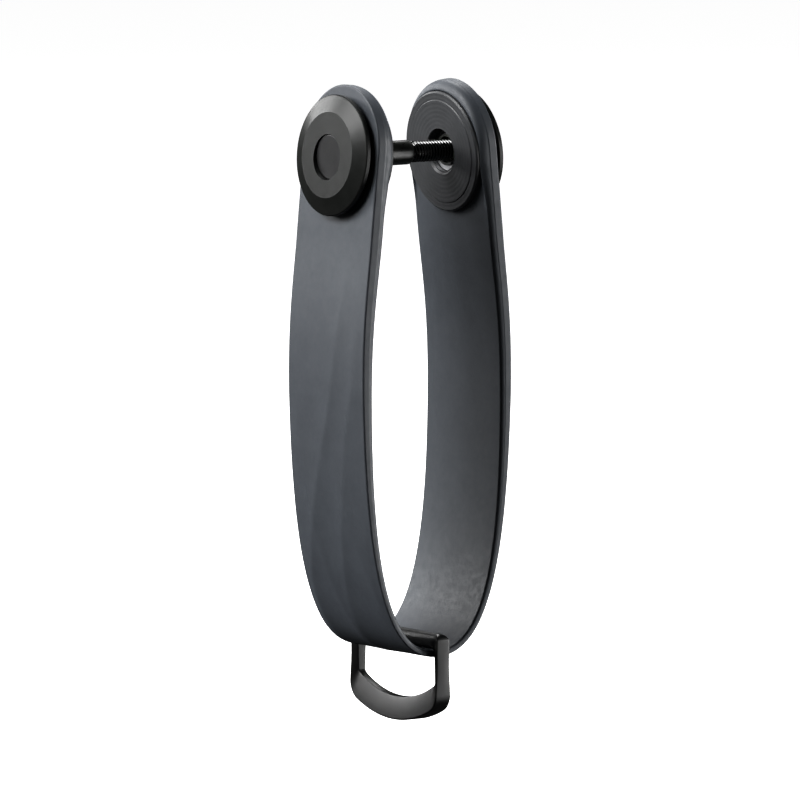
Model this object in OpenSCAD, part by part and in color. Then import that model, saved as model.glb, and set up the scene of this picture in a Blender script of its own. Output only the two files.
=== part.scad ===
// Key organiser: a flexible strap folded into a U, whose two round heads are drawn
// together by a screw that the keys hang on. A ring for a clip hangs in the fold.
//
// Frame: X runs along the screw from the screw side (-X) to the nut side (+X),
// Y runs across the strap, Z is up. The origin is on the screw's axis, midway
// between the two heads.
//
// At rest the strap's heads lean a little towards each other, and each carries its
// knob and flange with it. The screw and the nut are level, so each turns in a bore
// that is cut level through its leaning flange and knob.

/* [Strap] */
// Width of the strap
strap_w = 20.5; // [18:0.5:21]
// Height of the strap's round top above the screw's axis
head_top = 11.1; // [10.5:0.1:12.5]
// Distance from the middle to the inner face of each head
head_half_gap = 9.1; // [9:0.1:11]
// Angle by which each head leans inward at the top
head_lean = 5.6; // [2:0.1:6]
// Distance from the middle to the inner face of each arm where it bows out most
bow_half_gap = 12.4; // [12:0.1:14.5]
// Depth of the widest point of the arms below the screw's axis
bow_depth = 38; // [36:1:44]
// Depth of the inside of the fold below the screw's axis
fold_depth = 78.2; // [76:0.1:84]
// Thickness of the strap at the heads
head_t = 2.5; // [2.2:0.1:2.7]
// Thickness of the strap at the middle of the fold
fold_t = 1; // [0.8:0.1:1.4]
// Thickness of the inner layer
lining_t = 0.5; // [0.3:0.05:0.6]
// Height of the raised rim round the inside of each head
rim_h = 1; // [0.5:0.1:1.2]

/* [Knobs and flanges] */
// Radius of both knobs
knob_r = 9.58; // [8:0.02:9.8]
// Radius of a knob's flat outer face
knob_face_r = 6.8; // [5.5:0.1:7.5]
// Height of a knob's flat face above the strap's outer face
knob_h = 2.55; // [2.3:0.05:3]
// Radius of the flange that the keys lean on
flange_r = 9.6; // [8.5:0.05:9.7]
// Thickness of the flange
flange_t = 1.25; // [1:0.05:1.4]
// Radius of the flange's open mouth
mouth_r = 3.4; // [3.3:0.05:3.6]

/* [Screw and nut] */
// Radius of the heads of the screw and the nut
screw_head_r = 3.52; // [3.3:0.02:3.6]
// Depth of the screw's head below the knob's face
recess = 0.5; // [0.4:0.05:0.7]
// Radius of the journals that turn in the flanges
journal_r = 2.5; // [2.3:0.05:2.6]
// Radius of the plain shank that the keys hang on
shank_r = 1.95; // [1.8:0.05:2.1]
// Outer radius of the thread
thread_r = 1.7; // [1.5:0.05:1.75]
// Place along the axis where the plain shank ends
shank_end = 1.4; // [0:0.1:2]
// Place along the axis of the tip of the thread
tip_x = 10.5; // [9.8:0.1:10.8]
// Width of the nut's coin slot
slot_w = 1.5; // [1.2:0.1:1.8]

/* [Ring] */
// Outer width of the ring
ring_w = 23.5; // [23.4:0.1:27]
// Thickness of the ring's legs across the strap
ring_leg = 1.35; // [1.2:0.05:1.4]
// Depth of the ring along the screw's axis at its base
ring_d = 3.1; // [2.8:0.1:3.4]
// Depth of the ring round its opening
ring_edge_d = 1.3; // [1.1:0.1:1.6]
// Height of the ring's opening below its bar
ring_drop = 8.4; // [8:0.05:11]
// Thickness of the bow in the middle
bow_t = 3.7; // [3:0.1:4.2]
// Radius of the bar that lies in the fold
bar_r = 1.3; // [1.2:0.05:1.6]

/* [Hidden] */
$fn = 96;

STRAP_COLOR = [0.20, 0.22, 0.25];
LINING_COLOR = [0.17, 0.18, 0.20];
KNOB_COLOR = [0.14, 0.14, 0.14];
FLANGE_COLOR = [0.19, 0.19, 0.19];
STEEL_COLOR = [0.08, 0.08, 0.08];
WASHER_COLOR = [0.45, 0.45, 0.46];
RING_COLOR = [0.10, 0.10, 0.10];

CUT = 1;                 // how far a cutter runs past the face that it opens
STEPS = 28;              // stations along one stretch of the strap

// ---- Leaning stack of each side, as distances outward from the strap's inner face ----
backing_out = head_t + 0.5;          // outer face of the backing ring
knob_front = head_t + knob_h;        // flat outer face of the knob
knob_rim = knob_front - 0.9;         // front of the knob's cylindrical rim
knob_back = knob_rim - 0.85;         // back of the rim, which stands off the strap
hub_r = 6.9;                         // hub under the knob, which bears on the backing ring
barrel_r = 4.5;                      // barrel of the flange, through the strap into the knob
barrel_out = knob_front - 1.05;      // outer end of the barrel
hub_up = -1.5 * tan(head_lean);      // height of the leaning axis above the level one at the strap

// ---- Level stack of each side, as distances outward from the strap's inner face ----
running = 0.08;                      // radial clearance of the turning parts
pocket_r = screw_head_r + running;   // pocket of the screw's or the nut's head
pocket_floor = head_t + 0.1;         // floor of the pocket, where the washer lies
washer_out = pocket_floor + 0.4;     // outer face of the washer
head_in = washer_out + 0.1;          // inner face of the head
head_out = knob_front - recess;      // outer face of the head
bore_r = journal_r + running;        // bore that the journal turns in
mouth_floor = 0.7;                   // floor of the flange's open mouth
clip_out = mouth_floor - 0.1;       // outer face of the retaining clip
clip_in = clip_out - 0.5;            // inner face of the clip
clip_r = mouth_r - 0.12;             // outer radius of the clip
groove_r = journal_r - 0.3;          // bottom of the groove that the clip sits in
groove_play = 0.01;                  // how much wider the groove is than the clip, on each side
journal_in = -0.2;                   // inner end of the journals

// ---- The strap's inner face, as two curves from the head to the middle of the fold ----
// A point of the nut side's head, from its distance outward and its height along the head
function on_head(out, up) = [head_half_gap + out * cos(head_lean) - up * sin(head_lean),
                             out * sin(head_lean) + up * cos(head_lean)];
neck_up = -11.5;                     // the head is flat above this height
head_centre_up = head_top - strap_w / 2;
UPPER = [on_head(0, neck_up), on_head(0, neck_up - 8),
         [bow_half_gap, -bow_depth + 13], [bow_half_gap, -bow_depth]];
LOWER = [[bow_half_gap, -bow_depth], [bow_half_gap, -bow_depth - 28],
         [bow_half_gap * 0.7, -fold_depth], [0, -fold_depth]];
THICKNESS = [[-fold_depth, fold_t], [-71, fold_t * 1.1], [-62, fold_t * 1.35],
             [-bow_depth, head_t * 0.8], [-22, head_t * 0.92], [neck_up, head_t], [20, head_t]];
neck_s = 0.03;                       // where the head ends and the arm begins, along the strap
fold_s = 0.72;                       // where the arm ends and the fold begins
notch = 0.35;                        // how far a neighbour's face stands back from a flexing line
play = 0.08;                         // clearance round the rounded ends of the arms

function bezier(p, t) = pow(1 - t, 3) * p[0] + 3 * pow(1 - t, 2) * t * p[1]
                      + 3 * (1 - t) * t * t * p[2] + pow(t, 3) * p[3];
function slope(p, t) = 3 * pow(1 - t, 2) * (p[1] - p[0]) + 6 * (1 - t) * t * (p[2] - p[1])
                     + 3 * t * t * (p[3] - p[2]);
function inner_at(s) = s < 0.5 ? bezier(UPPER, 2 * s) : bezier(LOWER, 2 * s - 1);
function slope_at(s) = s < 0.5 ? slope(UPPER, 2 * s) : slope(LOWER, 2 * s - 1);
function outward(s) = let (d = slope_at(s)) [-d[1], d[0]] / norm(d);
function along(s) = let (d = slope_at(s)) d / norm(d);
function thickness(s) = lookup(inner_at(s)[1], THICKNESS);
// A point at a depth into the strap: 0 on the inner face, 1 on the outer face
function strap_point(s, share) = inner_at(s) + outward(s) * thickness(s) * share;
function lining_share(s) = lining_t / thickness(s);
function flex_line(s) = strap_point(s, 0.5);
function stations(from, to) = [for (i = [0:STEPS]) from + (to - from) * i / STEPS];
function reversed(list) = [for (i = [len(list) - 1:-1:0]) list[i]];

// ---- Helpers ----

// Stretches a profile drawn in X and Z across the strap's width
module across(width) {
    rotate([90, 0, 0]) linear_extrude(height = width, center = true) children();
}

// Frame of the nut side's head: X outward from the strap's inner face, Z up along the head
module leaning() {
    translate([head_half_gap, 0, 0]) rotate([0, -head_lean, 0]) children();
}

// Turns a profile of [radius, distance outward] about the axis of the leaning knob and flange
module turned() {
    leaning() translate([0, 0, hub_up]) rotate([0, 90, 0]) rotate_extrude() children();
}

// Turns a profile of [radius, distance outward] about the level axis of the screw
module turned_level() {
    translate([head_half_gap, 0, 0]) rotate([0, 90, 0]) rotate_extrude() children();
}

// Moves a piece of the nut side to the screw side
module screw_side() {
    mirror([1, 0, 0]) children();
}

// Profile of a plain ring
module band(inner_r, outer_r, from, to) {
    translate([inner_r, from]) square([outer_r - inner_r, to - from]);
}

// ---- Strap, drawn on the nut side ----

// Outline of a head seen along its axis: straight sides, a round top and the barrel's hole
module head_outline() {
    leaning() rotate([0, 90, 0]) linear_extrude(height = 4 * head_t, center = true) difference() {
        union() {
            translate([-head_centre_up, 0]) circle(d = strap_w);
            translate([-head_centre_up, -strap_w / 2]) square([3 * head_top, strap_w]);
        }
        translate([-hub_up, 0]) circle(r = barrel_r);
    }
}

// Points of one layer between two places along the strap: its inner face, then its outer face
function layer_points(from, to, lining) = let (line = stations(from, to)) concat(
    [for (s = line) strap_point(s, lining ? 0 : lining_share(s))],
    reversed([for (s = line) strap_point(s, lining ? lining_share(s) : 1)]));

// Clears a neighbour's end round an arm's rounded end, on the side that the arm comes from
module clear_of_arm(s, side) {
    translate(flex_line(s)) {
        circle(d = thickness(s) + 2 * play);
        rotate(atan2(along(s)[1], along(s)[0]))
            translate([side > 0 ? notch : -notch - 3 * head_t, -2 * head_t])
                square([3 * head_t, 4 * head_t]);
    }
}

module arm_outer() {
    across(strap_w) {
        polygon(layer_points(neck_s, fold_s, false));
        for (s = [neck_s, fold_s]) translate(flex_line(s)) circle(d = thickness(s));
    }
}

module arm_lining() {
    across(strap_w) difference() {
        polygon(layer_points(neck_s, fold_s, true));
        for (s = [neck_s, fold_s]) translate(flex_line(s)) circle(d = thickness(s));
    }
}

// One layer of a head, from above its top down to the neck
module head_profile(lining) {
    line = stations(0, neck_s);
    near = lining ? 0 : lining_t;
    far = lining ? lining_t : head_t;
    difference() {
        polygon(concat([on_head(near, head_top + CUT)],
                       [for (s = line) strap_point(s, near / thickness(s))],
                       reversed([for (s = line) strap_point(s, far / thickness(s))]),
                       [on_head(far, head_top + CUT)]));
        clear_of_arm(neck_s, 1);
    }
}

module head_outer() {
    intersection() {
        across(strap_w) head_profile(false);
        head_outline();
    }
}

// The lining carries the raised rim that stands round the upper half of the flange
module head_lining() {
    intersection() {
        union() {
            across(strap_w) head_profile(true);
            intersection() {
                turned() band(flange_r + 0.1, 2 * head_top, -rim_h, lining_t);
                leaning() translate([-head_t, -strap_w, 0]) cube([2 * head_t, 2 * strap_w, 2 * head_top]);
            }
        }
        head_outline();
    }
}

// One layer of the fold, which spans both sides between the two lower flexing lines
module fold_layer(lining) {
    half = layer_points(fold_s, 1, lining);
    across(strap_w) for (side = [0, 1]) mirror([side, 0]) difference() {
        polygon(half);
        clear_of_arm(fold_s, -1);
    }
}

module strap_right_head() { color(STRAP_COLOR) head_outer(); }
module strap_right_arm() { color(STRAP_COLOR) arm_outer(); }
module strap_left_head() { color(STRAP_COLOR) screw_side() head_outer(); }
module strap_left_arm() { color(STRAP_COLOR) screw_side() arm_outer(); }
module strap_fold() { color(STRAP_COLOR) fold_layer(false); }
module lining_right_head() { color(LINING_COLOR) head_lining(); }
module lining_right_arm() { color(LINING_COLOR) arm_lining(); }
module lining_left_head() { color(LINING_COLOR) screw_side() head_lining(); }
module lining_left_arm() { color(LINING_COLOR) screw_side() arm_lining(); }
module lining_fold() { color(LINING_COLOR) fold_layer(true); }

// ---- Flanges, knobs, washers and clips, drawn on the nut side ----

// Level cut through the flange and the knob: open mouth, journal's bore and head's pocket
module level_cut() {
    turned_level() polygon([
        [0, -flange_t - CUT], [mouth_r, -flange_t - CUT], [mouth_r, mouth_floor],
        [bore_r, mouth_floor], [bore_r, pocket_floor], [pocket_r, pocket_floor],
        [pocket_r, knob_front + CUT], [0, knob_front + CUT]
    ]);
}

// Round plate that the keys lean on, with a barrel that passes through the strap
module flange() {
    step_r = flange_r - 1.45;
    step_h = 0.12;
    edge = 0.25;
    lip = 0.3;
    difference() {
        turned() polygon([
            [0, -flange_t + lip], [mouth_r, -flange_t + lip], [mouth_r + lip, -flange_t],
            [step_r, -flange_t], [step_r + step_h, -flange_t + step_h],
            [flange_r - edge, -flange_t + step_h], [flange_r, -flange_t + step_h + edge],
            [flange_r, 0], [barrel_r, 0], [barrel_r, barrel_out], [0, barrel_out]
        ]);
        level_cut();
    }
}

module knob() {
    edge = 0.15;
    difference() {
        turned() polygon([
            [barrel_r, backing_out], [hub_r, backing_out], [hub_r, knob_back],
            [knob_r - edge, knob_back], [knob_r, knob_back + edge], [knob_r, knob_rim - edge],
            [knob_r - edge, knob_rim], [knob_face_r, knob_front], [0, knob_front],
            [0, barrel_out], [barrel_r, barrel_out]
        ]);
        level_cut();
    }
}

module backing_ring() { turned() band(barrel_r, hub_r + 0.4, head_t, backing_out); }
module washer() { turned_level() band(bore_r, pocket_r, pocket_floor, washer_out); }
module clip() { turned_level() band(groove_r, clip_r, clip_in, clip_out); }

module right_knob() { color(KNOB_COLOR) knob(); }
module left_knob() { color(KNOB_COLOR) screw_side() knob(); }
module right_backing_ring() { color(FLANGE_COLOR) backing_ring(); }
module left_backing_ring() { color(FLANGE_COLOR) screw_side() backing_ring(); }
module right_flange() { color(FLANGE_COLOR) flange(); }
module left_flange() { color(FLANGE_COLOR) screw_side() flange(); }
module nut_washer() { color(WASHER_COLOR) washer(); }
module screw_washer() { color(WASHER_COLOR) screw_side() washer(); }
module nut_clip() { color(WASHER_COLOR) clip(); }
module screw_clip() { color(WASHER_COLOR) screw_side() clip(); }

// ---- Screw and nut ----

// Outer profile that both share: head, journal and the groove for the clip
HEAD_AND_JOURNAL = [
    [0, head_out], [screw_head_r, head_out], [screw_head_r, head_in], [journal_r, head_in],
    [journal_r, clip_out + groove_play], [groove_r, clip_out + groove_play],
    [groove_r, clip_in - groove_play], [journal_r, clip_in - groove_play], [journal_r, journal_in]
];

// Screw: head, journal, plain shank and thread
module screw() {
    // Distance outward, on the screw's side, of a place along the axis
    function place(x) = -head_half_gap - x;
    tip_chamfer = 0.35;
    shoulder = 0.8;
    color(STEEL_COLOR) screw_side() turned_level() polygon(concat(HEAD_AND_JOURNAL, [
        [shank_r, journal_in], [shank_r, place(shank_end)], [thread_r, place(shank_end + shoulder)],
        [thread_r, place(tip_x - tip_chamfer)], [thread_r - tip_chamfer, place(tip_x)], [0, place(tip_x)]
    ]));
}

// Nut: a sleeve with a blind threaded hole, a plain lead-in at its mouth and a coin slot
module nut() {
    hole_r = thread_r + 0.05;
    lead_r = thread_r + 0.4;
    lead_end = 1.4;
    slot_depth = 0.5;
    blind_end = head_out - slot_depth - 0.35;
    color(STEEL_COLOR) difference() {
        turned_level() polygon(concat(HEAD_AND_JOURNAL, [
            [lead_r, journal_in], [lead_r, lead_end], [hole_r, lead_end + lead_r - hole_r],
            [hole_r, blind_end], [0, blind_end]
        ]));
        translate([head_half_gap + head_out - slot_depth, -screw_head_r - CUT, -slot_w / 2])
            cube([CUT + slot_depth, 2 * (screw_head_r + CUT), slot_w]);
    }
}

// ---- Ring ----

bar_z = -fold_depth + bar_r + 0.15;          // axis of the bar that lies in the fold
ring_top = bar_z + bar_r;
opening_z = bar_z - bar_r - ring_drop;       // lowest point of the ring's opening
ring_base = opening_z - bow_t;               // lowest point of the ring
opening_w = ring_w - 2 * ring_leg;
opening_arc = arc_radius(opening_w / 2, 2.9);
base_arc = arc_radius(ring_w / 2, 3.2);
corner_r = 3.2;                              // lower outer corners
shoulder_r = 1.1;                            // upper outer corners
bevel = (ring_d - ring_edge_d) / 2;          // how far each face falls back at the opening

// Radius of an arc from its half chord and its rise
function arc_radius(half_chord, rise) = (half_chord * half_chord + rise * rise) / (2 * rise);

// Outline of the ring seen along X, drawn as Y across and Z up
module ring_outline() {
    arc_centre = ring_base + base_arc;
    corner_y = ring_w / 2 - corner_r;
    corner_z = arc_centre - sqrt(pow(base_arc - corner_r, 2) - corner_y * corner_y);
    tangent_y = corner_y * base_arc / (base_arc - corner_r);
    intersection() {
        translate([0, arc_centre]) circle(r = base_arc, $fn = 256);
        translate([-tangent_y, ring_base]) square([2 * tangent_y, corner_z - ring_base]);
    }
    translate([-ring_w / 2, corner_z]) square([ring_w, ring_top - shoulder_r - corner_z]);
    translate([-ring_w / 2 + shoulder_r, corner_z])
        square([ring_w - 2 * shoulder_r, ring_top - corner_z]);
    for (side = [-1, 1]) {
        translate([side * corner_y, corner_z]) circle(r = corner_r);
        translate([side * (ring_w / 2 - shoulder_r), ring_top - shoulder_r]) circle(r = shoulder_r);
    }
}

module ring_opening() {
    intersection() {
        translate([-opening_w / 2, opening_z - CUT])
            square([opening_w, bar_z - opening_z + CUT]);
        translate([0, opening_z + opening_arc]) circle(r = opening_arc, $fn = 256);
    }
}

// What is cut from the ring's +X face so that it falls back towards the opening
module face_bevel() {
    bow_slope = bevel / (bow_t - 0.4);
    leg_slope = bevel / (ring_leg - 0.15);
    reach = bow_t + CUT;
    intersection() {
        translate([0, 0, opening_z + opening_arc]) rotate([0, 90, 0]) rotate_extrude($fn = 256)
            polygon([
                [0, ring_edge_d / 2 - bow_slope * opening_arc],
                [opening_arc + reach, ring_edge_d / 2 + bow_slope * reach],
                [opening_arc + reach, ring_d + CUT], [0, ring_d + CUT]
            ]);
        translate([0, 0, ring_base]) linear_extrude(height = bar_z - bar_r - 0.3 - ring_base)
            for (side = [0, 1]) mirror([0, side]) polygon([
                [ring_edge_d / 2 - leg_slope * opening_w / 2, 0],
                [ring_edge_d / 2 + leg_slope * reach, opening_w / 2 + reach],
                [ring_d + reach, opening_w / 2 + reach], [ring_d + reach, 0]
            ]);
    }
}

// Flat ring whose upper side is a round bar
module d_ring() {
    top_d = 2 * bar_r;
    color(RING_COLOR) difference() {
        intersection() {
            rotate([90, 0, 90]) linear_extrude(height = ring_d, center = true) ring_outline();
            across(ring_w + CUT) polygon([
                [-ring_d / 2, ring_base - CUT], [ring_d / 2, ring_base - CUT],
                [ring_d / 2, ring_base + bow_t], [top_d / 2, ring_top + CUT],
                [-top_d / 2, ring_top + CUT], [-ring_d / 2, ring_base + bow_t]
            ]);
        }
        rotate([90, 0, 90]) linear_extrude(height = ring_d + CUT, center = true) ring_opening();
        for (side = [0, 1]) mirror([side, 0, 0]) face_bevel();
        across(opening_w) difference() {
            translate([-ring_d, bar_z - bar_r]) square([2 * ring_d, 2 * bar_r + CUT]);
            translate([0, bar_z]) circle(r = bar_r);
        }
    }
}

strap_left_head();
strap_left_arm();
strap_fold();
strap_right_arm();
strap_right_head();
lining_left_head();
lining_left_arm();
lining_fold();
lining_right_arm();
lining_right_head();
left_knob();
left_backing_ring();
left_flange();
screw();
screw_washer();
screw_clip();
right_knob();
right_backing_ring();
right_flange();
nut();
nut_washer();
nut_clip();
d_ring();
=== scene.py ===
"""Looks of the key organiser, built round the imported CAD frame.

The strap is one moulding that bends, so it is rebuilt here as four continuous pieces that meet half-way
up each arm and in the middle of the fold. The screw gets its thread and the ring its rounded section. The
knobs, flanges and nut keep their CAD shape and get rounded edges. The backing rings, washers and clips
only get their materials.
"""

import math

import bmesh
import bpy
import numpy as np
from mathutils import Matrix, Vector


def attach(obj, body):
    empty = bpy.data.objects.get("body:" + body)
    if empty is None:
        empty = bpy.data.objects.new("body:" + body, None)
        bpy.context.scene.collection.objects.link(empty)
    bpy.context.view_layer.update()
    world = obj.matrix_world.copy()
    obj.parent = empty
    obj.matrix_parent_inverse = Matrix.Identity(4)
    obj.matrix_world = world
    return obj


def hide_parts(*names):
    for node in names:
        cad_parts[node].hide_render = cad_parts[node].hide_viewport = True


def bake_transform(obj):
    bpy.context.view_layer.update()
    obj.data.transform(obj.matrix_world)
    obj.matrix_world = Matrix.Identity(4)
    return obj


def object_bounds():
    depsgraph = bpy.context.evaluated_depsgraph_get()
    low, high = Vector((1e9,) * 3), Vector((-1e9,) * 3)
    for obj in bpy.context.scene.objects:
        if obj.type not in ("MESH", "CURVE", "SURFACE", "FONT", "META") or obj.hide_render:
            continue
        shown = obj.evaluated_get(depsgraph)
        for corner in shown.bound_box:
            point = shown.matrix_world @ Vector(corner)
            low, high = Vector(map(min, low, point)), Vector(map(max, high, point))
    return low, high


MM = 0.001

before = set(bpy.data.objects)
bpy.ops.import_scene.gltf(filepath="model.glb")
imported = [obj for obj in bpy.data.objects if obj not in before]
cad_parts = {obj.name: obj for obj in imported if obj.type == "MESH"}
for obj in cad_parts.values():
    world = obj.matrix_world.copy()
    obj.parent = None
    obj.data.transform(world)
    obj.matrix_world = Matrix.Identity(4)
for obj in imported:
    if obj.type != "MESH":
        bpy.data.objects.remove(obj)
cad_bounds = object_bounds()

# ---- Driving dimensions, in millimetres, the same as the CAD model's ----
# The nut side is at +X and the screw side mirrors it.
STRAP_R = 10.25          # half of the strap's width, and the radius of its round ends
HEAD_TOP = 11.1          # height of the strap's round top along the head
HEAD_HALF_GAP = 9.1      # middle to the inner face of each head
LEAN = math.radians(5.6)  # lean of the heads
BOW_HALF_GAP = 12.4      # middle to the inner face of each arm where it bows out most
BOW_DEPTH = 38.0         # depth of that place
FOLD_DEPTH = 78.2        # depth of the inside of the fold
HEAD_T = 2.5             # thickness of the strap at the heads
FOLD_T = 1.0             # thickness of the strap in the fold
NECK_UP = -11.5          # the head is flat above this height along it
FLANGE_R = 9.6           # radius of the flange on a head's inner face
KNOB_H = 2.55            # height of a knob's flat face above the strap's outer face
BARREL_R = 4.5           # radius of the flange's barrel, which passes through the strap
HUB_UP = -1.5 * math.tan(LEAN)  # height of the flange's centre along the head
HEAD_CENTRE_UP = HEAD_TOP - STRAP_R

# Thickness of the strap by the height of its inner face, from the fold up to the heads
THICKNESS = [
    (-FOLD_DEPTH, FOLD_T), (-71, FOLD_T * 1.1), (-62, FOLD_T * 1.35),
    (-BOW_DEPTH, HEAD_T * 0.8), (-22, HEAD_T * 0.92), (NECK_UP, HEAD_T),
]


# ---------------------------------------------------------------- mesh helpers

def new_object(name, verts_mm, faces, smooth=True):
    """Makes an object from vertices in millimetres."""
    mesh = bpy.data.meshes.new(name)
    mesh.from_pydata([tuple(c * MM for c in v) for v in verts_mm], [], faces)
    mesh.validate()
    mesh.polygons.foreach_set("use_smooth", [smooth] * len(mesh.polygons))
    obj = bpy.data.objects.new(name, mesh)
    bpy.context.scene.collection.objects.link(obj)
    return obj


def weld(obj, distance_mm=0.002):
    """Joins vertices that lie together and makes the normals point outward."""
    bm = bmesh.new()
    bm.from_mesh(obj.data)
    bmesh.ops.remove_doubles(bm, verts=bm.verts, dist=distance_mm * MM)
    bmesh.ops.dissolve_degenerate(bm, edges=bm.edges, dist=distance_mm * MM / 4)
    bmesh.ops.recalc_face_normals(bm, faces=bm.faces)
    bm.to_mesh(obj.data)
    bm.free()


def apply_modifiers(obj):
    """Puts what the object's modifiers make into its mesh."""
    graph = bpy.context.evaluated_depsgraph_get()
    mesh = bpy.data.meshes.new_from_object(obj.evaluated_get(graph))
    obj.modifiers.clear()
    obj.data = mesh


def grid_faces(rows, columns, closed_rows=False, closed_columns=False):
    """Quads of a grid whose vertex (row, column) has index row * columns + column."""
    faces = []
    for i in range(rows if closed_rows else rows - 1):
        for j in range(columns if closed_columns else columns - 1):
            a, b = i * columns, (i + 1) % rows * columns
            k = (j + 1) % columns
            faces.append((a + j, a + k, b + k, b + j))
    return faces


def arc(centre, radius, start_deg, end_deg, count):
    """Points of an arc, both ends included."""
    return [
        (centre[0] + radius * math.cos(a), centre[1] + radius * math.sin(a))
        for a in np.radians(np.linspace(start_deg, end_deg, count))
    ]


def smoothstep(a, b, x):
    """0 below a, 1 above b and a smooth rise between; a may be the larger."""
    t = min(max((x - a) / (b - a), 0.0), 1.0)
    return t * t * (3 - 2 * t)


# ---------------------------------------------------------------- strap

FOLD_SPREAD = 0.7        # reach of the fold's curve, as a share of the arm's distance from the middle
BOW_PULL_DOWN = 28       # how far the curve keeps the arm's direction below the bow
BOW_PULL_UP = 13         # the same above it
NECK_PULL = 8            # how far it keeps the head's direction below the neck
CURVE_STEPS = 1500       # steps along each curve
HEAD_STEPS = 200         # steps along the flat head


def bezier(p, t):
    """Point of a cubic curve with four control points."""
    return (1 - t) ** 3 * p[0] + 3 * (1 - t) ** 2 * t * p[1] + 3 * (1 - t) * t * t * p[2] + t**3 * p[3]


def on_head(out, up):
    """A point of the nut side's head, as (x, z), from its distance outward and height along the head."""
    return np.array([
        HEAD_HALF_GAP + out * math.cos(LEAN) - up * math.sin(LEAN),
        out * math.sin(LEAN) + up * math.cos(LEAN),
    ])


class StrapPath:
    """The strap's inner face on the nut side, by distance from the middle of the fold."""

    def __init__(self):
        bow = np.array([BOW_HALF_GAP, -BOW_DEPTH])
        lower = [np.array([0, -FOLD_DEPTH]), np.array([BOW_HALF_GAP * FOLD_SPREAD, -FOLD_DEPTH]),
                 bow - (0, BOW_PULL_DOWN), bow]
        upper = [bow, bow + (0, BOW_PULL_UP), on_head(0, NECK_UP - NECK_PULL), on_head(0, NECK_UP)]
        t = np.linspace(0, 1, CURVE_STEPS)
        points = [bezier(lower, v) for v in t] + [bezier(upper, v) for v in t[1:]]
        points += [on_head(0, v) for v in np.linspace(NECK_UP, HEAD_TOP, HEAD_STEPS)[1:]]
        self.points = np.array(points)
        steps = np.linalg.norm(np.diff(self.points, axis=0), axis=1)
        self.distance = np.concatenate([[0], np.cumsum(steps)])
        along = np.gradient(self.points, self.distance, axis=0)
        along /= np.linalg.norm(along, axis=1)[:, None]
        self.outward = np.stack([along[:, 1], -along[:, 0]], axis=1)
        self.head_start = self.at_depth(on_head(0, NECK_UP)[1])
        self.head_centre = self.head_start + HEAD_CENTRE_UP - NECK_UP

    def at_depth(self, z):
        """Distance along the strap at which its inner face passes the height z."""
        return float(np.interp(z, self.points[:, 1], self.distance))

    def height_up(self, d):
        """Height along the head of a distance along the strap."""
        return d - self.head_centre + HEAD_CENTRE_UP

    def sample(self, d):
        """Inner face point and outward direction, each as (x, z)."""
        point = [np.interp(d, self.distance, self.points[:, k]) for k in (0, 1)]
        out = np.array([np.interp(d, self.distance, self.outward[:, k]) for k in (0, 1)])
        return np.array(point), out / np.linalg.norm(out)

    def thickness(self, d):
        """Thickness of the strap at a distance along it."""
        z = np.interp(d, self.distance, self.points[:, 1])
        heights, sizes = zip(*THICKNESS)
        return float(np.interp(z, heights, sizes))


PATH = StrapPath()

LINING_SHARE = 0.40      # share of the thickness that the lining takes
EDGE_IN = 0.6            # how far the lining's rounded edge reaches across the inner face
BEAD_H = 0.6             # height of the raised bead round a head's inner face
BEAD_MAX_W = 0.9         # width of the bead below the flange's widest place
BEAD_FROM, BEAD_TO = -9.5, -1.5  # heights along the head between which the bead rises
OUTER_ROUND = 0.28       # radius of the outer face's rounded edge
ACROSS_IN = 26           # columns across the inner face
ACROSS_OUT = 44          # columns across the outer face
EDGE_STEPS = 11          # columns across the rounded edge or bead
LIP = 0.05               # how far the outer layer stands out past the lining
BEAD_POWER = 1.15        # how full the bead is towards the flange
BEAD_START = 0.9         # share of the bead's height at the flange
FLANGE_CLEAR = 0.06      # gap between the flange and the bead
HOLD = 0.08              # distance of the row that holds a face flat beside a rounded edge
ROW_STEP_FOLD = 0.22     # distance between rows of vertices along the fold
ROW_STEP = 0.45          # the same along the arms and heads
FOLD_REACH = 16          # distance along the strap over which the fold's rows are close
TIP_ROWS = 40            # rows round a head's end

# Ridges moulded into the outer face, as points of (distance across, height), from the top down
RIDGES = [
    [(-5.0, -14.5), (-4.0, -21), (-2.7, -31), (-1.1, -39), (0.9, -45), (4.8, -56.5), (8.0, -67), (9.4, -76)],
    [(-8.2, -22), (-7.3, -36), (-5.5, -43), (-3.2, -56), (-1.6, -64), (-0.5, -70), (0.2, -77)],
    [(8.6, -36), (7.4, -45), (5.8, -54), (3.8, -63.5), (1.6, -71.5), (0.2, -77.5)],
    [(0.4, -42), (-1.9, -49), (-3.8, -54), (-6.2, -62), (-8.8, -69), (-10.2, -73)],
]
RIDGE_H = (0.26, 0.24, 0.22, 0.16)  # height of each ridge
RIDGE_REACH = 2.4        # how far a ridge's slopes reach
RIDGE_SOFT = 0.3         # rounding of its top
RIDGE_RISE = (2, 16)     # a ridge starts this far above its first point and is full this far below it
RIDGE_FALL = (4, 3)      # it fades from this far above its last point to this far below it
EDGE_FADE = 2.0          # the ridges fade out this close to the strap's edge


def ridge_relief(y, z):
    """Height of the moulded ridges on the outer face."""
    height = 0.0
    for points, top in zip(RIDGES, RIDGE_H):
        across, depth = zip(*points)
        line = np.interp(-z, [-v for v in depth], across)
        rise = smoothstep(depth[0] + RIDGE_RISE[0], depth[0] - RIDGE_RISE[1], z)
        fall = smoothstep(depth[-1] - RIDGE_FALL[1], depth[-1] + RIDGE_FALL[0], z)
        offset = math.hypot(y - line, RIDGE_SOFT)
        height += top * rise * fall * math.exp(-offset / RIDGE_REACH)
    return height * smoothstep(STRAP_R, STRAP_R - EDGE_FADE, abs(y))


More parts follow.
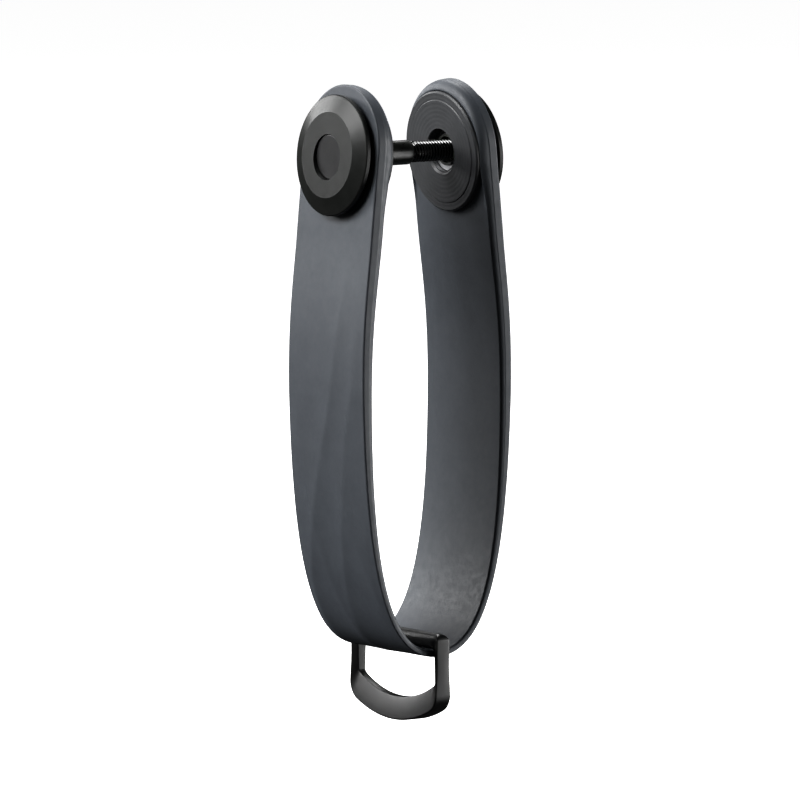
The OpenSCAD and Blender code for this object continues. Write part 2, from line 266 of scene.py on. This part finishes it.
def bead_width(row):
    """Room between the flange and the strap's outline at a row."""
    clear = FLANGE_R + FLANGE_CLEAR
    if row["angle"] is None:
        up = PATH.height_up(row["d"])
        inside = clear**2 - (up - HUB_UP) ** 2
        return min(STRAP_R - math.sqrt(inside), BEAD_MAX_W) if inside > 0 else BEAD_MAX_W
    shift = HEAD_CENTRE_UP - HUB_UP
    a = row["angle"]
    return STRAP_R + shift * math.sin(a) - math.sqrt(clear**2 - (shift * math.cos(a)) ** 2)


def strap_rows(d_from, d_to):
    """Rows across the strap between two distances; past the head's centre they close in to the tip."""
    straight_end = min(d_to, PATH.head_centre)
    rows = []
    d = d_from
    while d < straight_end - 0.05:
        rows.append({"d": d, "angle": None})
        d += ROW_STEP_FOLD if d < FOLD_REACH else ROW_STEP
    rows.append({"d": straight_end, "angle": None})
    if d_to > PATH.head_centre:
        rows += [{"d": PATH.head_centre, "angle": a} for a in np.linspace(0, math.pi / 2, TIP_ROWS)[1:]]
    return rows


def row_point(row, inset, share_across, n):
    """Point (x, y, z) and its distance along the strap, at an inset from the outline and n from the
    inner face; share_across runs from -1 to 1 between the edges."""
    reach = STRAP_R - inset
    if row["angle"] is None:
        d, half = row["d"], reach
    else:
        d, half = row["d"] + reach * math.sin(row["angle"]), reach * math.cos(row["angle"])
    point, out = PATH.sample(d)
    x, z = point + out * n
    return x, half * share_across, z, d


def edge_profile(row):
    """(inset, n) from the inner face round one edge to the outer face."""
    t = PATH.thickness(row["d"])
    lining = LINING_SHARE * t
    up = PATH.height_up(row["d"])
    round_head = 1.0 if row["angle"] is not None else smoothstep(BEAD_FROM, BEAD_TO, up)
    reach = EDGE_IN * min(1.0, 0.35 + 0.65 * t / HEAD_T)
    width = reach + (bead_width(row) - reach) * round_head
    height = BEAD_H * round_head
    step = LIP * t / HEAD_T
    profile = [(width, 0.0), (width - 0.03, -height * BEAD_START)]
    for j in range(1, EDGE_STEPS + 1):
        a = j / EDGE_STEPS * math.pi / 2
        profile.append((step + (width - step) * (1 - math.sin(a) ** BEAD_POWER),
                        -height + (height + lining) * (1 - math.cos(a))))
    profile.append((0.0, lining + HOLD))
    r = min(OUTER_ROUND, 0.3 * (t - lining))
    profile += [(0.0, lining + 0.14), (0.0, t - r - 0.04)]
    profile += [(r - r * math.cos(a), t - r + r * math.sin(a)) for a in np.radians([0, 22, 45, 68, 88])]
    profile.append((r + HOLD, t))
    return profile


def strap_section(row):
    """Closed loop of points round the strap at a row."""
    profile = edge_profile(row)
    t = PATH.thickness(row["d"])
    inner_inset, outer_inset = profile[0][0], profile[-1][0]
    loop = []
    for share in np.linspace(-1, 1, ACROSS_IN + 1):
        loop.append(row_point(row, inner_inset, share, 0.0)[:3])
    loop += [row_point(row, inset, 1, n)[:3] for inset, n in profile[1:]]
    for share in np.linspace(1, -1, ACROSS_OUT + 1)[1:]:
        _, y, _, d = row_point(row, outer_inset, share, t)
        z = PATH.sample(d)[0][1]
        loop.append(row_point(row, outer_inset, share, t + ridge_relief(y, z))[:3])
    loop += [row_point(row, inset, -1, n)[:3] for inset, n in reversed(profile[1:-1])]
    return loop


def strap_piece(name, d_from, d_to, side):
    """A length of the strap on the nut side (side 1) or the screw side (side -1)."""
    rows = strap_rows(d_from, d_to)
    loops = [strap_section(row) for row in rows]
    columns = len(loops[0])
    verts = [(side * x, y, z) for loop in loops for x, y, z in loop]
    obj = new_object(name, verts, grid_faces(len(rows), columns, closed_columns=True))
    weld(obj)
    return obj


def cut_barrel_hole(piece, side):
    """Cuts the hole that the flange's barrel passes through."""
    start, end = -4, 8
    profile = [(0, start), (BARREL_R, start), (BARREL_R, end), (0, end)]
    cutter = lathe("cutter", profile, leaning_frame(side), 64)
    cut = piece.modifiers.new("hole", "BOOLEAN")
    cut.object = cutter
    cut.operation = "DIFFERENCE"
    cut.solver = "EXACT"
    apply_modifiers(piece)
    bpy.data.objects.remove(cutter)


# ---------------------------------------------------------------- turned pieces

def leaning_frame(side):
    """Matrix from (distance outward, Y, Z) in millimetres about a flange's axis to the row frame."""
    tilt = Matrix.Rotation(-LEAN, 4, "Y")
    place = Matrix.Translation((HEAD_HALF_GAP, 0, 0)) @ tilt @ Matrix.Translation((0, 0, HUB_UP))
    return Matrix.Diagonal((side, 1, 1, 1)) @ place


def lathe(name, profile, matrix, segments):
    """Turns a profile of (radius, distance outward) about the frame's X axis."""
    verts = []
    for r, u in profile:
        for a in np.linspace(0, 2 * math.pi, segments, endpoint=False):
            verts.append(tuple(matrix @ Vector((u, r * math.cos(a), r * math.sin(a)))))
    obj = new_object(name, verts, grid_faces(len(profile), segments, closed_columns=True))
    weld(obj)
    return obj


# Places along the screw, as distances outward from the screw side's head unless they are along X
SCREW_HEAD_R = 3.52      # the head, which turns in the knob's pocket
HEAD_OUT = HEAD_T + KNOB_H - 0.5  # its outer face, recessed 0.5 mm below the knob's
HEAD_IN = HEAD_T + 0.6   # its inner face, on the washer
HEAD_EDGE = 0.12         # rounding of its outer edge
JOURNAL_R = 2.5          # the journal, which turns in the flange
JOURNAL_IN = -0.2        # its inner end
GROOVE_R = 2.2           # bottom of the retaining clip's groove
CLIP_FROM, CLIP_TO = 0.09, 0.61  # the groove
SHANK_R = 1.95           # the plain shank, on which the keys hang
SHANK_END = 1.4          # along X
NECK_END = SHANK_END + 0.42  # along X, where the neck ends and the thread starts
THREAD_R = 1.7           # crest of the thread
THREAD_DEPTH = 0.34
PITCH = 0.55
THREAD_RUN_OUT = 0.5     # length over which the thread grows to its full depth
TIP_X = 10.5             # along X
TIP_CHAMFER = 0.45       # length of the tip's chamfer
SCREW_SEGMENTS = 96      # vertices round the screw
PITCH_STEPS = 12         # rings of vertices along one pitch


def out(u):
    """Place along X of a distance outward on the screw's side."""
    return -(HEAD_HALF_GAP + u)


def thread_radius(x, angle):
    """Radius of the thread: a flat-topped helical ridge that ends in the tip's chamfer."""
    grown = smoothstep(NECK_END, NECK_END + THREAD_RUN_OUT, x)
    limit = THREAD_R - max(0.0, x - (TIP_X - TIP_CHAMFER)) * 1.1
    phase = (x / PITCH - angle / (2 * math.pi)) % 1.0
    ridge = min(1.0, max(0.0, 1.35 - 2.7 * abs(phase - 0.5)))
    return min(THREAD_R - THREAD_DEPTH * (1 - ridge * grown), limit)


def screw_shaft():
    """The screw: head, journal, clip groove, plain shank, neck and a real helical thread."""
    edge = HEAD_EDGE
    plain = [(0.0, out(HEAD_OUT)), (SCREW_HEAD_R - edge - 0.06, out(HEAD_OUT))]
    plain += [(SCREW_HEAD_R - edge + r, out(HEAD_OUT - edge + u)) for u, r in
              arc((0, 0), edge, 90, 0, 4)][::-1]
    plain += [(SCREW_HEAD_R, out(HEAD_IN)), (JOURNAL_R, out(HEAD_IN)), (JOURNAL_R, out(CLIP_TO))]
    plain += [(GROOVE_R, out(CLIP_TO)), (GROOVE_R, out(CLIP_FROM)), (JOURNAL_R, out(CLIP_FROM))]
    plain += [(JOURNAL_R, out(JOURNAL_IN + 0.1)), (JOURNAL_R - 0.1, out(JOURNAL_IN))]
    plain += [(SHANK_R + 0.12, out(JOURNAL_IN)), (SHANK_R + 0.03, out(JOURNAL_IN) + 0.1)]
    plain += [(SHANK_R, out(JOURNAL_IN) + 0.35)]
    plain += [(SHANK_R, x) for x in np.linspace(-8.2, SHANK_END - 0.15, 14)]
    plain += [(SHANK_R - 0.03, SHANK_END - 0.03), (SHANK_R - 0.12, SHANK_END + 0.05)]
    plain += [(THREAD_R - 0.10, NECK_END - 0.08), (THREAD_R - 0.2, NECK_END)]
    angles = np.linspace(0, 2 * math.pi, SCREW_SEGMENTS, endpoint=False)
    rings = [(x, [r] * SCREW_SEGMENTS) for r, x in plain]
    step = PITCH / PITCH_STEPS
    for x in np.arange(NECK_END + step, TIP_X - 0.001, step):
        rings.append((x, [thread_radius(x, a) for a in angles]))
    rings.append((TIP_X, [0.0] * SCREW_SEGMENTS))
    verts = []
    for x, radii in rings:
        verts += [(x, r * math.cos(a), r * math.sin(a)) for r, a in zip(radii, angles)]
    obj = new_object("screw_shaft", verts, grid_faces(len(rings), SCREW_SEGMENTS, closed_columns=True))
    weld(obj)
    obj.data.set_sharp_from_angle(angle=math.radians(50))
    return obj


# ---------------------------------------------------------------- ring

RING_W = 23.5            # width, along the fold
RING_LEG = 1.35          # width of a leg, seen from the front
RING_D = 3.1             # depth of the outer face, across the fold
RING_EDGE_D = 1.3        # depth of the inner face
RING_DROP = 8.4          # from the bar's underside to the opening's lowest place
BOW_T = 3.7              # height of the bow in the middle
BAR_R = 1.3              # radius of the bar in the fold
BAR_Z = -FOLD_DEPTH + BAR_R + 0.15  # the bar hangs just clear of the fold's inner face
SAG_IN, SAG_OUT = 2.9, 3.2  # how far the bow's inner and outer arcs bulge down
TOP_FILLET_IN, TOP_FILLET_OUT = 0.7, 1.1
LOW_FILLET_IN, LOW_FILLET_OUT = 0.8, 3.2
LEG_EXTRA_D = 0.3        # how much deeper a leg's inner face is at its top
EDGE_ROUND = 0.24        # rounding of the ring's edges


def low_corner(half, radius, arc_radius, lowest):
    """Centre (y, z) of a lower corner's fillet and the angle at which it meets the long arc."""
    y = half - radius
    z = lowest + arc_radius - math.sqrt((arc_radius - radius) ** 2 - y * y)
    return y, z, math.degrees(math.atan2(z - lowest - arc_radius, y))


def between(a, b, count):
    """Points of a straight line, without its end."""
    return [tuple(np.array(a) + (np.array(b) - a) * t) for t in np.linspace(0, 1, count, endpoint=False)]


def ring_stations():
    """Inner and outer points (y, z) of the ring with its depths, going round from the bar's middle."""
    half_in, half_out = RING_W / 2 - RING_LEG, RING_W / 2
    top, under = BAR_Z + BAR_R, BAR_Z - BAR_R
    opening_z = under - RING_DROP
    base_z = opening_z - BOW_T
    arc_in = (half_in**2 + SAG_IN**2) / (2 * SAG_IN)
    arc_out = (half_out**2 + SAG_OUT**2) / (2 * SAG_OUT)
    in_y, in_z, in_angle = low_corner(half_in, LOW_FILLET_IN, arc_in, opening_z)
    out_y, out_z, out_angle = low_corner(half_out, LOW_FILLET_OUT, arc_out, base_z)
    inner, outer, depth_in, depth_out, rounding = [], [], [], [], []

    def add(points_in, points_out, d_in, d_out, r):
        """Adds a run of stations."""
        inner.extend(points_in)
        outer.extend(points_out)
        depth_in.extend(d_in)
        depth_out.extend(d_out)
        rounding.extend(r)

    bar_d = 2 * BAR_R
    n = 14
    add(between((0, under), (half_in - TOP_FILLET_IN, under), n),
        between((0, top), (half_out - TOP_FILLET_OUT, top), n), [bar_d] * n, [bar_d] * n, [BAR_R] * n)
    n = 12
    mix = [smoothstep(0, 1, k / n) for k in range(n)]
    add(arc((half_in - TOP_FILLET_IN, under - TOP_FILLET_IN), TOP_FILLET_IN, 90, 0, n + 1)[:-1],
        arc((half_out - TOP_FILLET_OUT, top - TOP_FILLET_OUT), TOP_FILLET_OUT, 90, 0, n + 1)[:-1],
        [bar_d + (RING_EDGE_D + LEG_EXTRA_D - bar_d) * m for m in mix], [bar_d] * n,
        [BAR_R + (EDGE_ROUND - BAR_R) * m for m in mix])
    n = 20
    leg = np.linspace(0, 1, n, endpoint=False)
    add(between((half_in, under - TOP_FILLET_IN), (half_in, in_z), n),
        between((half_out, top - TOP_FILLET_OUT), (half_out, out_z), n),
        [RING_EDGE_D + LEG_EXTRA_D * (1 - v) for v in leg],
        [bar_d + (RING_D - bar_d) * v for v in leg], [EDGE_ROUND] * n)
    n = 14
    add(arc((in_y, in_z), LOW_FILLET_IN, 0, in_angle, n + 1)[:-1],
        arc((out_y, out_z), LOW_FILLET_OUT, 0, out_angle, n + 1)[:-1],
        [RING_EDGE_D] * n, [RING_D] * n, [EDGE_ROUND] * n)
    n = 26
    add(arc((0, opening_z + arc_in), arc_in, in_angle, -90, n + 1),
        arc((0, base_z + arc_out), arc_out, out_angle, -90, n + 1),
        [RING_EDGE_D] * (n + 1), [RING_D] * (n + 1), [EDGE_ROUND] * (n + 1))
    half = list(zip(inner, outer, depth_in, depth_out, rounding))
    other = [((-i[0], i[1]), (-o[0], o[1]), a, b, r) for i, o, a, b, r in half[1:-1]]
    return half + other[::-1]


def rounded_trapezoid(length, d_in, d_out, radius):
    """Loop of (share from inner to outer, x) for a trapezoid with rounded corners."""
    corners = [(0, -d_in / 2), (length, -d_out / 2), (length, d_out / 2), (0, d_in / 2)]
    r = min(radius, 0.499 * length, 0.499 * d_in)
    loop = []
    for k, corner in enumerate(corners):
        before, after = np.array(corners[k - 1]), np.array(corners[(k + 1) % 4])
        corner = np.array(corner, float)
        to_before = (before - corner) / np.linalg.norm(before - corner)
        to_after = (after - corner) / np.linalg.norm(after - corner)
        half_angle = math.acos(float(np.clip(np.dot(to_before, to_after), -1, 1))) / 2
        reach = r / math.tan(half_angle)
        middle = to_before + to_after
        centre = corner + middle / np.linalg.norm(middle) * r / math.sin(half_angle)
        start, end = corner + to_before * reach - centre, corner + to_after * reach - centre
        a0 = math.atan2(start[1], start[0])
        sweep = (math.atan2(end[1], end[0]) - a0 + math.pi) % (2 * math.pi) - math.pi
        for v in np.linspace(0, 1, 7):
            loop.append((centre[0] + r * math.cos(a0 + sweep * v), centre[1] + r * math.sin(a0 + sweep * v)))
    return loop


def ring_body():
    """The ring, as its section carried round the stations."""
    verts = []
    stations = ring_stations()
    for inner, outer, d_in, d_out, radius in stations:
        a, b = np.array(inner), np.array(outer)
        length = float(np.linalg.norm(b - a))
        unit = (b - a) / length
        for along, x in rounded_trapezoid(length, d_in, d_out, radius):
            y, z = a + unit * along
            verts.append((x, y, z))
    columns = len(verts) // len(stations)
    faces = grid_faces(len(stations), columns, closed_rows=True, closed_columns=True)
    obj = new_object("ring_body", verts, faces)
    weld(obj)
    return obj


# ---------------------------------------------------------------- materials

class Nodes:
    """Short way to build a material's node tree, in the piece's own coordinates."""

    def __init__(self, name):
        self.material = bpy.data.materials.new(name)
        self.material.use_nodes = True
        self.tree = self.material.node_tree
        self.bsdf = self.tree.nodes["Principled BSDF"]
        self.coords = self.add("ShaderNodeTexCoord").outputs["Object"]

    def add(self, kind, **values):
        node = self.tree.nodes.new(kind)
        for key, value in values.items():
            setattr(node, key, value)
        return node

    def link(self, source, target):
        self.tree.links.new(source, target)

    def noise(self, scale, detail=2.0, roughness=0.5, stretch=(1, 1, 1)):
        """Noise in cycles per metre, as a factor output."""
        mapping = self.add("ShaderNodeMapping")
        mapping.inputs["Scale"].default_value = stretch
        self.link(self.coords, mapping.inputs["Vector"])
        texture = self.add("ShaderNodeTexNoise")
        texture.inputs["Scale"].default_value = scale
        texture.inputs["Detail"].default_value = detail
        texture.inputs["Roughness"].default_value = roughness
        self.link(mapping.outputs["Vector"], texture.inputs["Vector"])
        return texture.outputs["Fac"]

    def spread(self, source, low, high):
        """A factor of 0.3 to 0.7 as a value from low to high."""
        node = self.add("ShaderNodeMapRange")
        node.inputs["From Min"].default_value = 0.3
        node.inputs["From Max"].default_value = 0.7
        node.inputs["To Min"].default_value = low
        node.inputs["To Max"].default_value = high
        self.link(source, node.inputs["Value"])
        return node.outputs["Result"]

    def colours(self, source, dark, light):
        """Blends two colours by a factor."""
        ramp = self.add("ShaderNodeValToRGB")
        ramp.color_ramp.elements[0].position = 0.3
        ramp.color_ramp.elements[0].color = (*dark, 1)
        ramp.color_ramp.elements[1].position = 0.7
        ramp.color_ramp.elements[1].color = (*light, 1)
        self.link(source, ramp.inputs["Fac"])
        self.link(ramp.outputs["Color"], self.bsdf.inputs["Base Color"])

    def bump(self, height, distance_mm, strength=1.0, under=None):
        """Adds a bump of a height in millimetres, on top of another bump if one is given."""
        node = self.add("ShaderNodeBump")
        node.inputs["Strength"].default_value = strength
        node.inputs["Distance"].default_value = distance_mm * MM
        self.link(height, node.inputs["Height"])
        if under is not None:
            self.link(under, node.inputs["Normal"])
        self.link(node.outputs["Normal"], self.bsdf.inputs["Normal"])
        return node.outputs["Normal"]

    def set(self, **values):
        for key, value in values.items():
            self.bsdf.inputs[key.replace("_", " ")].default_value = value


def elastomer(name, dark, light, roughness):
    """Matte moulded elastomer: fine spark-eroded grain, faint cloudy tone and a soft sheen."""
    n = Nodes(name)
    n.colours(n.noise(260, 4, 0.6), dark, light)
    n.link(n.spread(n.noise(900, 3, 0.6), roughness - 0.05, roughness + 0.06), n.bsdf.inputs["Roughness"])
    grain = n.bump(n.noise(9000, 2, 0.6), 0.012, 0.55)
    n.bump(n.noise(1500, 2, 0.5), 0.012, 0.35, under=grain)
    n.set(Specular_IOR_Level=0.42)
    n.bsdf.inputs["Sheen Weight"].default_value = 0.10
    n.bsdf.inputs["Sheen Roughness"].default_value = 0.55
    n.bsdf.inputs["Sheen Tint"].default_value = (0.75, 0.82, 0.95, 1)
    return n.material


def satin_plastic(name, dark, light, roughness, specular=0.5):
    """Fine satin moulded plastic."""
    n = Nodes(name)
    n.colours(n.noise(420, 3, 0.55), dark, light)
    n.link(n.spread(n.noise(900, 1, 0.5), roughness - 0.02, roughness + 0.02), n.bsdf.inputs["Roughness"])
    n.bump(n.noise(9000, 0, 0.5), 0.0025, 0.5)
    n.set(Specular_IOR_Level=specular)
    return n.material


TURN_PITCH = 0.7         # distance between the flange's turned rings


def turned_plastic(name, dark, light, roughness, side):
    """Plate with fine turned rings about the flange's leaning axis."""
    n = Nodes(name)
    n.colours(n.noise(420, 3, 0.55), dark, light)
    axis = (leaning_frame(side).to_3x3() @ Vector((1, 0, 0))).normalized()
    centre = Vector(leaning_frame(side).translation) * MM
    offset = n.add("ShaderNodeVectorMath", operation="SUBTRACT")
    offset.inputs[1].default_value = centre
    n.link(n.coords, offset.inputs[0])
    cross = n.add("ShaderNodeVectorMath", operation="CROSS_PRODUCT")
    cross.inputs[1].default_value = axis
    n.link(offset.outputs["Vector"], cross.inputs[0])
    radius = n.add("ShaderNodeVectorMath", operation="LENGTH")
    n.link(cross.outputs["Vector"], radius.inputs[0])
    rings = n.add("ShaderNodeMath", operation="SINE")
    scaled = n.add("ShaderNodeMath", operation="MULTIPLY")
    scaled.inputs[1].default_value = 2 * math.pi / (TURN_PITCH * MM)
    n.link(radius.outputs["Value"], scaled.inputs[0])
    n.link(scaled.outputs["Value"], rings.inputs[0])
    n.link(n.spread(n.noise(900, 1, 0.5), roughness - 0.02, roughness + 0.02), n.bsdf.inputs["Roughness"])
    turned = n.bump(rings.outputs["Value"], 0.008, 0.5)
    n.bump(n.noise(12000, 2, 0.55), 0.006, 0.5, under=turned)
    n.set(Specular_IOR_Level=0.5)
    return n.material


def coated_steel(name, dark, light, roughness, grain_mm, specular):
    """Black coated metal."""
    n = Nodes(name)
    n.colours(n.noise(600, 3, 0.5), dark, light)
    n.link(n.spread(n.noise(1500, 1, 0.5), roughness - 0.03, roughness + 0.03), n.bsdf.inputs["Roughness"])
    n.bump(n.noise(7000, 2, 0.55), grain_mm, 0.6)
    n.set(Specular_IOR_Level=specular)
    return n.material


def bare_steel(name):
    """Plain stainless, rolled."""
    n = Nodes(name)
    n.colours(n.noise(700, 3, 0.5, stretch=(1, 8, 8)), (0.42, 0.42, 0.43), (0.55, 0.55, 0.56))
    n.link(n.spread(n.noise(3000, 3, 0.6), 0.26, 0.42), n.bsdf.inputs["Roughness"])
    n.bump(n.noise(9000, 2, 0.5), 0.004, 0.5)
    n.set(Metallic=1.0)
    return n.material


def paint(obj, material):
    """Puts one material on all of a piece."""
    slots = obj.material_slots
    if slots:
        for s in slots:
            s.material = material
    else:
        obj.data.materials.append(material)


def soften(node, width_mm, segments=3):
    """Rounds a CAD piece's edges and smooths its turned faces."""
    for polygon in node.data.polygons:
        polygon.use_smooth = True
    bevel = node.modifiers.new("edges", "BEVEL")
    bevel.width = width_mm * MM
    bevel.segments = segments
    bevel.limit_method = "ANGLE"
    bevel.angle_limit = math.radians(28)
    bevel.harden_normals = True
    bevel.use_clamp_overlap = True


# ---------------------------------------------------------------- build


def build_strap(material):
    """Four continuous pieces: they meet half-way up each arm and in the middle of the fold."""
    half_way = PATH.at_depth(-BOW_DEPTH)
    names = {1: "right", -1: "left"}
    for side, word in names.items():
        upper = strap_piece(f"strap_{word}_upper", half_way, PATH.head_centre + STRAP_R, side)
        cut_barrel_hole(upper, side)
        lower = strap_piece(f"strap_{word}_lower", 0.0, half_way, side)
        for piece in (upper, lower):
            paint(piece, material)
        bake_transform(upper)
        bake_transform(lower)
        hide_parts(f"strap_{word}_head", f"lining_{word}_head")
        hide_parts(f"strap_{word}_arm", f"lining_{word}_arm", "strap_fold", "lining_fold")


def build_knobs_and_plates():
    """The knobs, backing rings, flanges, washers and clips, with their CAD shapes."""
    knob = satin_plastic("knob_satin", (0.012, 0.013, 0.012), (0.016, 0.017, 0.016), 0.31, 0.36)
    plate = satin_plastic("plate_satin", (0.046, 0.046, 0.047), (0.056, 0.056, 0.057), 0.5)
    steel = bare_steel("stainless")
    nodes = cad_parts
    for side, word in ((1, "right"), (-1, "left")):
        soften(nodes[f"{word}_knob"], 0.14)
        paint(nodes[f"{word}_knob"], knob)
        soften(nodes[f"{word}_flange"], 0.06)
        paint(nodes[f"{word}_flange"],
              turned_plastic(f"plate_{word}", (0.050, 0.052, 0.055), (0.058, 0.060, 0.064), 0.42, side))
        paint(nodes[f"{word}_backing_ring"], plate)
    for name in ("nut_washer", "screw_washer", "nut_clip", "screw_clip"):
        paint(nodes[name], steel)


def build_nut(material):
    """The nut, with its CAD shape."""
    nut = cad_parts["nut"]
    soften(nut, 0.05)
    paint(nut, material)


def build_screw(material):
    """The screw: a satin head painted lighter to brighten the shade in its recess, a glossy shank and a
    glossier thread.
    """
    # Painted light: the head's colour is about twice the knob's tone, to brighten the shade that falls in
    # the knob's pocket.
    head = satin_plastic("insert_painted_lighter", (0.024, 0.024, 0.025), (0.030, 0.030, 0.031), 0.36, 0.5)
    thread = coated_steel("thread_gloss", (0.004, 0.005, 0.004), (0.006, 0.008, 0.006), 0.14, 0.0004, 0.9)
    screw = screw_shaft()
    for part in (material, head, thread):
        screw.data.materials.append(part)
    for polygon in screw.data.polygons:
        if polygon.center.x < out(HEAD_IN) * MM:
            polygon.material_index = 1
        elif polygon.center.x > (SHANK_END + 0.2) * MM:
            polygon.material_index = 2
    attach(screw, "screw")
    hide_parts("screw")


def build_ring():
    """The D-ring, in matt black."""
    ring = ring_body()
    paint(ring, coated_steel("black_matte", (0.007, 0.007, 0.007), (0.010, 0.010, 0.010), 0.36, 0.006, 0.42))
    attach(ring, "ring")
    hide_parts("d_ring")


# ---------------------------------------------------------------- stage

CAMERA_AZIMUTH, CAMERA_ELEVATION = -35.5, 6.3
CAMERA_AIM = Vector((0, 0, -0.0393))
CAMERA_DISTANCE = 2.0    # metres
CAMERA_LENS = 569.0      # millimetres
LIGHTS_MIDDLE = Vector((0, 0, -0.04))
FLOOR_DROP = 0.030       # metres from the ring down to the floor
FLOOR_REACH = 12.0       # metres from the middle to the floor's edge

# Soft lights: name, azimuth and elevation from the middle in degrees, distance and side in metres, watts
LIGHTS = [
    ("behind_left_low", -150, 16, 1.0, 0.25, 4.0),
    ("behind_left", -175, 20, 1.0, 0.3, 2.5),
    ("behind_right_high", 150, 50, 1.0, 0.4, 6.5),
    ("left", -105, 38, 1.0, 0.4, 8.0),
    ("left_low", -130, 10, 1.0, 0.2, 1.5),
    ("left_near", -115, 42, 0.4, 0.25, 1.5),
    ("front_right", 36, -5, 1.0, 0.6, 2.5),
    ("front_right_low", 38, -25, 1.0, 0.4, 1.0),
    ("right", 60, 0, 1.0, 0.4, 13.0),
]


def direction(azimuth_deg, elevation_deg):
    """Unit vector from the middle; azimuth 0 is toward -Y and 90 toward +X."""
    a, e = math.radians(azimuth_deg), math.radians(elevation_deg)
    return Vector((math.sin(a) * math.cos(e), -math.cos(a) * math.cos(e), math.sin(e)))


def build_floor():
    """A pale floor well under the ring, which lights nothing."""
    floor_z = float(cad_bounds[0][2]) - FLOOR_DROP
    reach = FLOOR_REACH
    corners = [(-reach, -reach), (reach, -reach), (reach, reach), (-reach, reach)]
    mesh = bpy.data.meshes.new("floor")
    mesh.from_pydata([(x, y, floor_z) for x, y in corners], [], [(0, 1, 2, 3)])
    floor = bpy.data.objects.new("floor", mesh)
    bpy.context.scene.collection.objects.link(floor)
    pale = bpy.data.materials.new("floor_pale")
    pale.use_nodes = True
    bsdf = pale.node_tree.nodes["Principled BSDF"]
    bsdf.inputs["Base Color"].default_value = (0.8, 0.8, 0.8, 1)
    bsdf.inputs["Roughness"].default_value = 0.9
    bsdf.inputs["Specular IOR Level"].default_value = 0.0
    bsdf.inputs["Emission Color"].default_value = (1, 1, 1, 1)
    bsdf.inputs["Emission Strength"].default_value = 0.92
    mesh.materials.append(pale)
    floor.visible_diffuse = False
    floor.visible_glossy = False


def build_world():
    """White to the camera and nearly dark as a light."""
    world = bpy.data.worlds.new("studio")
    bpy.context.scene.world = world
    world.use_nodes = True
    tree = world.node_tree
    faint = tree.nodes["Background"]
    faint.inputs["Color"].default_value = (1, 1, 1, 1)
    faint.inputs["Strength"].default_value = 0.035
    white = tree.nodes.new("ShaderNodeBackground")
    white.inputs["Color"].default_value = (1, 1, 1, 1)
    path = tree.nodes.new("ShaderNodeLightPath")
    mix = tree.nodes.new("ShaderNodeMixShader")
    tree.links.new(path.outputs["Is Camera Ray"], mix.inputs["Fac"])
    tree.links.new(faint.outputs["Background"], mix.inputs[1])
    tree.links.new(white.outputs["Background"], mix.inputs[2])
    tree.links.new(mix.outputs["Shader"], tree.nodes["World Output"].inputs["Surface"])


def build_lights():
    """The soft lights, each facing the middle."""
    for name, azimuth, elevation, distance, side, watts in LIGHTS:
        light = bpy.data.lights.new(name, "AREA")
        light.shape = "SQUARE"
        light.size = side
        light.energy = watts
        obj = bpy.data.objects.new(name, light)
        toward = direction(azimuth, elevation)
        obj.location = LIGHTS_MIDDLE + toward * distance
        obj.rotation_euler = (-toward).to_track_quat("-Z", "Y").to_euler()
        bpy.context.scene.collection.objects.link(obj)


def build_camera():
    """A long lens from far away, a little above the post."""
    back = direction(CAMERA_AZIMUTH, CAMERA_ELEVATION)
    data = bpy.data.cameras.new("camera")
    data.lens, data.sensor_width = CAMERA_LENS, 36
    data.clip_start, data.clip_end = 0.05, 50
    camera = bpy.data.objects.new("camera", data)
    camera.location = CAMERA_AIM + back * CAMERA_DISTANCE
    camera.rotation_euler = (-back).to_track_quat("-Z", "Y").to_euler()
    bpy.context.scene.collection.objects.link(camera)
    bpy.context.scene.camera = camera


def build_stage():
    """Pale floor, white surroundings, soft lights and the camera."""
    view = bpy.context.scene.view_settings
    view.view_transform = "Standard"
    view.look = "None"
    view.gamma = 0.8
    build_floor()
    build_world()
    build_lights()
    build_camera()


build_stage()
build_strap(elastomer("strap_elastomer", (0.050, 0.056, 0.065), (0.060, 0.067, 0.077), 0.52))
build_knobs_and_plates()
black_gloss = coated_steel("black_gloss", (0.012, 0.015, 0.011), (0.017, 0.021, 0.015), 0.3, 0.0006, 0.95)
build_nut(black_gloss)
build_screw(black_gloss)
build_ring()
